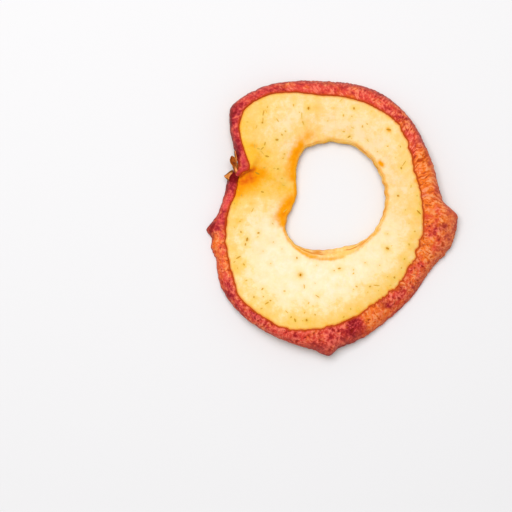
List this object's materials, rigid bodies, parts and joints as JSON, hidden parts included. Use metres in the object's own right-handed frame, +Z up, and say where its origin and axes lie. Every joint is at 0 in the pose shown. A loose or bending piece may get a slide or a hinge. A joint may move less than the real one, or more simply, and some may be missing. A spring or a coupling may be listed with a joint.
{
  "type": "dried apple ring",
  "caption": "Chewy dried apple slice with its core cut out, a wrinkled red peel round the rim and dry sepals at the blossom end.",
  "frame": {"origin": "centre of the bounding box in X and Y, at the height of the lowest points", "axes": "+Z up through the hole, out of the side with the smaller cut face; +Y along the ring's longest width; -X towards the notch of the blossom end"},
  "size_m": [0.0636, 0.07, 0.007],
  "materials": {
    "flesh": "dull, slightly waxy dried fruit flesh",
    "peel": "wrinkled, with a faint satin sheen"
  },
  "bodies": {
    "root": {"apple_ring": "flesh"}
  },
  "joints": []
}
